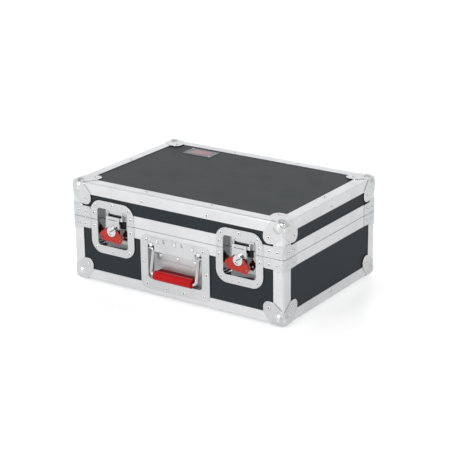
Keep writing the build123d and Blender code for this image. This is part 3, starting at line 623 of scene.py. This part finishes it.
def drawn_corners(node):
    """Remesh and relax each ball corner of a CAD node."""
    skin = clean_copy(node, "drawn_" + node)
    edit(skin)
    bpy.ops.mesh.separate(type="LOOSE")
    leave_edit()
    for corner in list(bpy.context.selected_objects):
        only(corner)
        corner.data.remesh_voxel_size = VOXEL
        bpy.ops.object.voxel_remesh()
        relax = corner.modifiers.new("relax", "SMOOTH")
        relax.factor = RELAX
        relax.iterations = RELAX_PASSES
        bpy.ops.object.modifier_apply(modifier=relax.name)
        thin = corner.modifiers.new("thin", "DECIMATE")
        thin.ratio = KEEP_FACES
        bpy.ops.object.modifier_apply(modifier=thin.name)
        bpy.ops.object.shade_smooth()
        settle(corner, body_of[node], polished)
        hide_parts(node)
        print(corner.name, len(corner.data.polygons))


drawn_corners("base_ball_corners")
drawn_corners("lid_ball_corners")

# %% [markdown]
# ## Rivets
# Most heads are small domes with a hollow where the mandrel broke off, and the handle's plates
# have solid heads. Each kind is drawn once from a disc, ring by ring, with Inset Faces: every
# inset is one step of the profile, inwards and up. A dark ring at the foot is painted shadow,
# where the head meets the plate. The patterns are one metre in radius and height, so that a copy's
# scale is its real size.

# %% Draw a head from a disc
HEAD_SIDES = 20
FOOT_HEIGHT = 0.08
FOOT_LIMIT = 0.1


def turned_head(radius, steps):
    """A disc raised by its foot, then inset step by step: (inwards, up) in metres."""
    bpy.ops.mesh.primitive_circle_add(vertices=HEAD_SIDES, radius=radius, fill_type="NGON")
    head = bpy.context.view_layer.objects.active
    edit(head)
    bpy.ops.mesh.extrude_region_move(TRANSFORM_OT_translate={"value": (0, 0, FOOT_HEIGHT)})
    for inwards, up in steps:
        bpy.ops.mesh.inset(thickness=inwards, depth=up)
    leave_edit()
    return head


def in_foot(face):
    """Whether a face belongs to the ring at the foot of a head."""
    return face.center.z < FOOT_LIMIT


print("foot height", FOOT_HEIGHT)

# %% [markdown]
# ### The hollow head
# The hollow of a blind rivet is dark, because no light comes back from where its mandrel broke. A
# dark disc could stand for it, but the hollow's faces are part of the profile already. So they are
# picked out by their place and take a dark finish as painted shade, as the faces of the foot take
# a painted shadow.

# %% The hollow head
HOLLOW_PROFILE = (
    (0.06, 0), (0.01, 0.35), (0.07, 0.2), (0.14, 0.2),
    (0.17, 0.13), (0.15, 0.04), (0.04, -0.08), (0.05, -0.45),
)
HOLLOW_RADIUS = 0.43
HOLLOW_TOP = 0.88
DOME, HOLLOW, FOOT = 0, 1, 2

rivet_head = turned_head(1.06, HOLLOW_PROFILE)
for finish in (rivet_metal, painted_shade_and_marks, painted_shadow):
    rivet_head.data.materials.append(finish)
for face in rivet_head.data.polygons:
    if in_foot(face):
        face.material_index = FOOT
    elif face.center.xy.length < HOLLOW_RADIUS and face.center.z < HOLLOW_TOP:
        face.material_index = HOLLOW
smooth(rivet_head, 60)
print("hollow head faces:", len(rivet_head.data.polygons))

# %% [markdown]
# ### The solid head
# The heads on the handle's plates are closed domes with a shallow dimple. They could share the
# hollow head's profile with its middle filled. A profile of their own is no more work, and gives
# them their dimple and a wider ring of painted shadow at the foot.

# %% The solid head
SOLID_PROFILE = (
    (0.14, 0), (0.01, 0.3), (0.08, 0.25), (0.14, 0.2),
    (0.18, 0.14), (0.12, -0.02), (0.08, -0.25), (0.1, 0.1),
)

solid_head = turned_head(1.14, SOLID_PROFILE)
for finish in (rivet_metal, painted_shadow):
    solid_head.data.materials.append(finish)
for face in solid_head.data.polygons:
    face.material_index = int(in_foot(face))
smooth(solid_head, 70)
print("solid head faces:", len(solid_head.data.polygons))

# %% [markdown]
# ### Where the heads go
# The CAD has a plain head at every rivet. Its box tells the rest: the shortest side of the box is
# the rivet's axis, the longest is its width, and the half of the case that it lies in is the side
# that it looks to. So a new head goes in each one's place, with no list of places to keep. The
# few on the handle's cover plate get the solid head, and are told by their row.

# %% Find the rivets and set the heads
MIDDLE = (0, 0, 0.1)
COVER_ROW = 0.12
ROW_REACH = 0.002
COVER_REACH = 0.05


def set_head(base, axis, radius, height, pattern):
    """One rivet head with its foot at a point, pointing along an axis."""
    head = pattern.copy()
    head.data = pattern.data.copy()
    bpy.context.collection.objects.link(head)
    turn = Vector((0, 0, 1)).rotation_difference(axis).to_matrix().to_4x4()
    scale = Matrix.Diagonal((radius, radius, height, 1))
    head.matrix_world = Matrix.Translation(base) @ turn @ scale
    return head


def islands(node):
    """The separate solids of a CAD node as lowest and highest corners."""
    piece = clean_copy(node, "islands")
    edit(piece)
    bpy.ops.mesh.separate(type="LOOSE")
    leave_edit()
    found = []
    for part in list(bpy.context.selected_objects):
        corners = [Vector(corner) for corner in part.bound_box]
        found.append((
            Vector([min(corner[i] for corner in corners) for i in range(3)]),
            Vector([max(corner[i] for corner in corners) for i in range(3)]),
        ))
        bpy.data.objects.remove(part)
    return found


def rivets(node):
    """All the heads of a node's rivets as one piece; gives back how many there are."""
    heads = []
    for low, high in islands(node):
        size = high - low
        thin = min(range(3), key=lambda i: size[i])
        middle = (low + high) / 2
        outward = 1 if middle[thin] > MIDDLE[thin] else -1
        axis = Vector((0, 0, 0))
        axis[thin] = outward
        base = middle.copy()
        base[thin] = low[thin] if outward > 0 else high[thin]
        in_row = abs(middle.z - COVER_ROW) < ROW_REACH and abs(middle.x) < COVER_REACH
        pattern = solid_head if in_row and middle.y < 0 else rivet_head
        heads.append(set_head(base, axis, max(size) / 2, size[thin], pattern))
    count = len(heads)
    piece = join(heads, "domed_" + node)
    settle(piece, body_of[node], None)
    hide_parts(node)
    return count


print("heads:", rivets("base_rivets"), rivets("lid_rivets"))

# %% [markdown]
# ## Foam
# Nobody sees the inside in the photograph, but the lid opens. Cut foam has soft edges and an
# open, matt surface, and it doesn't sag in its box, so each block is a copy of its CAD solid with
# a generous bevel and needs no cloth simulation.

# %% Foam blocks
for node in ("base_floor_pad", "base_foam_insert", "lid_foam"):
    block = dressed(node, foam_grey, 1.2, 3)
print("foam blocks dressed, the last one is", block.name)

# %% [markdown]
# ## Tools for pressed details
# Small folds, pads and slots make a pressing believable. Each starts as a cube that is added at
# its size and place and then loses its hard edges. Places on the front are easiest to read as
# three numbers in millimetres: across from the middle, back from the front face, and up from the
# floor of the case, which its ball corners hold 5 mm above the ground.

# %% Low forms and heads on the front
FRONT = -173.0
GROUND = 5.0


def low_form(name, low, high, bevel, finish, segments=3):
    """A block between two corners in millimetres, with soft edges."""
    middle = [(a + b) / 2 * MM for a, b in zip(low, high)]
    size = [(b - a) * MM for a, b in zip(low, high)]
    bpy.ops.mesh.primitive_cube_add(size=1, location=middle, scale=size)
    form = bpy.context.view_layer.objects.active
    form.name = name
    bpy.ops.object.transform_apply(location=True, rotation=True, scale=True)
    apply_bevel(form, bevel, segments)
    smooth(form, CURVED)
    form.data.materials.append(finish)
    return form


def raised(name, across, back, up, bevel, finish, segments=3):
    """A low form on the front, between two values each of across, back and up."""
    low = (across[0], FRONT + back[0], GROUND + up[0])
    high = (across[1], FRONT + back[1], GROUND + up[1])
    return low_form(name, low, high, bevel, finish, segments)


def front_head(across, back, up, radius, height, pattern):
    """A rivet head on the front, looking forwards."""
    place = Vector((across, FRONT + back, GROUND + up)) * MM
    return set_head(place, Vector((0, -1, 0)), radius * MM, height * MM, pattern)


print("front face at", FRONT, "mm")

# %% [markdown]
# ## Details of the handle
# Behind the bail, the dish has a raised pad with three rivets. The plate that covers the bail's
# pivots has a lip along its lower edge, a short fold in its middle, two hooked notches with a
# small rivet each, and a large round head over each pivot. Cut notches would need a new mesh for
# the plate, and a dark inlay in the shape of the notch, painted shade for the gap behind it, looks
# the same from outside. All of these ride on the base, so they are joined into one piece.

# %% Handle pressings
PAD_FACE = 9.6
COVER_FACE = -1.1

forms = [raised("pad", (-50, 50), (PAD_FACE, 13.3), (73.5, 109), 1.2, satin_zinc)]
forms += [front_head(x, PAD_FACE, 83.8, 3.6, 1.2, solid_head) for x in (-41.8, 0, 41.8)]
forms += [front_head(x, COVER_FACE, 107, 4.4, 1.7, solid_head) for x in (-57, 57)]
forms.append(raised("fold", (-22, 14), (-1.5, -1.0), (105.4, 106.6), 0.24, satin_zinc))
forms.append(raised("lip", (-49, 49), (-1.7, -0.4), (94.2, 95.4), 0.5, satin_zinc))
for x in (-27.5, 16):
    # Each notch is a dark inlay of painted shade, with a small rivet beside it.
    inlay = (COVER_FACE - 0.2, COVER_FACE)
    forms.append(raised("slot", (x, x + 1.5), inlay, (115.2, 121.9), 0.05, painted_shadow, 1))
    forms.append(raised("foot", (x + 1.2, x + 4.2), inlay, (114.0, 115.4), 0.05, painted_shadow, 1))
    forms.append(front_head(x + 4.2, COVER_FACE, 118.6, 2.5, 0.9, rivet_head))
forms.append(raised("backing", (-64.9, 64.9), (-0.9, -0.3), (106, 122.2), 0.05, zinc, 1))
details = join(forms, "handle_pressings")
settle(details, "base", None)
print("handle details:", len(details.data.polygons))

# %% [markdown]
# ## Details of the latches
# The face of each barrel has six small dark dots. They turn with the barrel, so they ride on the
# spindle. The hook plate has a fold near its top, drawn as a dark strip of painted shade, which
# slides with the hook. Beside the hook, the back plate is cut away, and a dark sheet of painted
# shade stands for the hollow behind it, which stays with the base. All of them could be painted in
# the finish, but a thin form keeps its crisp edge from every side, and moves with its own body.

# %% Latch marks, folds and hollows
LATCH = 152.3
BARREL_ACROSS = -4.5
BARREL_UP = 114
BARREL_FACE = -0.45
BARREL_DOTS = ((-2.5, -0.5), (0.3, 1.2), (3.1, 2.9), (6.0, 4.6), (-4.6, -5.0), (-1.0, -6.8))

for side, sign in (("left", -1), ("right", 1)):
    x = sign * LATCH
    barrel = x + BARREL_ACROSS
    marks = join([
        front_head(barrel + across, BARREL_FACE, BARREL_UP + up, 1.25, 0.35, rivet_head)
        for across, up in BARREL_DOTS
    ], f"{side}_barrel_marks")
    for index in (DOME, FOOT):
        marks.data.materials[index] = painted_shade_and_marks
    settle(marks, f"{side}_spindle", None)

    reach = (barrel - 12, barrel + 11)
    # The fold is a dark strip of painted shade.
    fold = raised(f"{side}_hook_fold", reach, (5.0, 5.3), (136.4, 137.4), 0.12, painted_shade_and_marks, 1)
    settle(fold, f"{side}_hook", None)

    reach = (x + 13.5, x + 23)
    # A dark sheet of painted shade stands for the hollow behind the cut-away plate.
    hollow = raised(f"{side}_back_hollow", reach, (11.3, 11.7), (120.5, 135), 0.15, painted_shade_and_marks, 2)
    settle(hollow, "base", None)
for pattern in (rivet_head, solid_head):
    bpy.data.objects.remove(pattern)
print("latch details: 6")

# %% [markdown]
# ## Beads along the top edging
# The outer face of the top edging has a fine raised line just under the corner, which the die
# leaves all the way round. It could be part of the edging's profile, but a rod that is partly
# sunk in the face is simpler, and it can end where the leaves of the ball corners begin.

# %% Beads
BEAD_UP = (209.4, 210.6)


def bead(end, axis, faces, half_length):
    """A raised line along one side, between two faces in millimetres from the middle."""
    out = sorted(faces)
    along = (-half_length, half_length)
    x, y = (along, out) if axis == "x" else (out, along)
    low, high = zip(x, y, BEAD_UP)
    settle(low_form(f"bead_{end}", low, high, 0.2, aluminium[axis]), "lid", None)


bead("front", "x", (-172.8, -173.3), 224)
bead("back", "x", (172.8, 173.3), 224)
bead("left", "y", (-251.8, -252.3), 145)
bead("right", "y", (251.8, 252.3), 145)
print("beads: 4")

# %% [markdown]
# ## Name plate
# The small plate on the lid is thin and bare, with a soft rim and one plain muted band. The band
# could be a second colour in the finish, but a low form catches the light along its own edge, and
# takes its place from the plate's box.

# %% Name plate
BAND_INSET = (13, 8)
BAND_FOOT = 0.3
BAND_RISE = 0.25

dressed("name_plate", plate_dark, 0.3)
low, high = (Vector(corner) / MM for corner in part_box("name_plate"))
band = low_form(
    "name_plate_band",
    (low.x + BAND_INSET[0], low.y + BAND_INSET[1], high.z - BAND_FOOT),
    (high.x - BAND_INSET[0], high.y - BAND_INSET[1], high.z + BAND_RISE),
    0.25,
    plate_band,
)
settle(band, "lid", None)
print("name plate dressed")

# %% [markdown]
# ## Floor
# The photograph has a white ground with a soft shadow. More light would bring a pale floor up to
# white, but it would wash out the case too. So the floor's own colour is pale, and a little light
# that only the camera and mirrors see does the rest. It is a little weaker to the right, as the
# reflections in the photograph are.

# %% Floor
SEEN_BY_CAMERA = 0.49
SEEN_BY_MIRRORS = (0.26, 0.24)

bpy.ops.mesh.primitive_plane_add(size=24)
floor = bpy.context.view_layer.objects.active
floor.name = "studio_floor"
paper, tree, shader = new_finish("white floor", specular=0.3)
shader.inputs["Base Color"].default_value = (0.78, 0.78, 0.78, 1)
shader.inputs["Roughness"].default_value = 0.22
shader.inputs["Emission Color"].default_value = (1, 1, 1, 1)
ray = tree.nodes.new("ShaderNodeLightPath").outputs
for_camera = maths(tree, "MULTIPLY", ray["Is Camera Ray"], SEEN_BY_CAMERA)
glow = remap(tree, apart(tree, object_point(tree))["X"], 0.12, 0.34, *SEEN_BY_MIRRORS)
for_mirrors = maths(tree, "MULTIPLY", ray["Is Glossy Ray"], glow)
tree.links.new(maths(tree, "ADD", for_camera, for_mirrors), shader.inputs["Emission Strength"])
floor.data.materials.append(paper)
print("floor", tuple(round(v, 2) for v in floor.dimensions))

# %% [markdown]
# ## Room
# Metal shows the room around it, so the room decides how the case looks. It is a pale tent: full
# white to the left, greyer to the right and overhead, and with one dark opening in front and high
# up, as a studio has on the camera's side. That opening is the dark spot in every ball corner.
# Behind the case, the camera sees plain white.

# %% Room
OPENING = (0.44, -0.66, 0.61)

world = bpy.data.worlds.new("pale room")
bpy.context.scene.world = world
world.use_nodes = True
tree = world.node_tree
backdrop = tree.nodes["Background"]
direction = tree.nodes.new("ShaderNodeTexCoord").outputs["Generated"]
look = apart(tree, direction)
ceiling = remap(tree, look["Z"], 0.72, 0.86, 0.95, 0.45)
walls = remap(tree, look["X"], -0.1, 0.9, 1.0, 0.68)
facing = vector_maths(tree, "DOT_PRODUCT", direction, OPENING).outputs["Value"]
opening = remap(tree, facing, 0.90, 0.95, 1.0, 0.05)
tent = maths(tree, "MULTIPLY", maths(tree, "MULTIPLY", ceiling, walls), opening)
seen = tree.nodes.new("ShaderNodeLightPath").outputs["Is Camera Ray"]
tree.links.new(maths(tree, "MAXIMUM", tent, seen), backdrop.inputs["Strength"])
backdrop.inputs["Color"].default_value = (1, 1, 1, 1)
print(world.name)

# %% [markdown]
# ## Lamps
# Two softboxes light the front and the right side, and a wide weak lamp lifts the top. Sun lamps
# would be simpler, but their shadows are hard. These are large for their distance, so their
# shadows are soft and their highlights are small squares in the polished metal.

# %% Lamps
AIM = Vector((0, 0, 0.1))


def lamp(name, place, size, power):
    """A soft square lamp at a place, looking at the case, in metres and watts."""
    light = bpy.data.lights.new(name, "AREA")
    light.size = size
    light.energy = power
    holder = bpy.data.objects.new(name, light)
    bpy.context.collection.objects.link(holder)
    holder.location = place
    holder.rotation_euler = (AIM - Vector(place)).to_track_quat("-Z", "Y").to_euler()


lamp("left softbox", (-0.45, -2.2, 1.15), 0.75, 13)
lamp("right softbox", (2.1, -0.9, 1.15), 0.6, 8)
lamp("top", (0.1, 0.3, 2.6), 1.6, 2)
print("lamps: 3")

# %% [markdown]
# ## Camera
# The camera stands to the right and above, far off with a long lens, which keeps the edges of the
# case nearly parallel. Its angles come from the straight edges in the photograph. It could be
# pointed with a Track To constraint, but the photograph leans by under a degree, so its axes are
# worked out here.

# %% Camera
AZIMUTH = radians(34.44)
ELEVATION = radians(19.523)
ROLL = radians(-0.738)
DISTANCE = 3.1439
TARGET = Vector((0, 0, 0.103))

back = Vector((sin(AZIMUTH) * cos(ELEVATION), -cos(AZIMUTH) * cos(ELEVATION), sin(ELEVATION)))
level = Vector((cos(AZIMUTH), sin(AZIMUTH), 0))
upright = back.cross(level)
right = level * cos(ROLL) + upright * sin(ROLL)
up = upright * cos(ROLL) - level * sin(ROLL)
eye = TARGET + back * DISTANCE
camera = bpy.data.objects.new("camera", bpy.data.cameras.new("camera"))
bpy.context.collection.objects.link(camera)
camera.matrix_world = Matrix((
    (right.x, up.x, back.x, eye.x),
    (right.y, up.y, back.y, eye.y),
    (right.z, up.z, back.z, eye.z),
    (0, 0, 0, 1),
))
camera.data.lens = 123.19
camera.data.sensor_width = 36
camera.data.shift_x = 0.00118
camera.data.shift_y = 0.00862
camera.data.clip_end = 100
bpy.context.scene.camera = camera
bpy.context.scene.view_settings.view_transform = "Standard"
print("eye", tuple(round(v, 3) for v in eye))
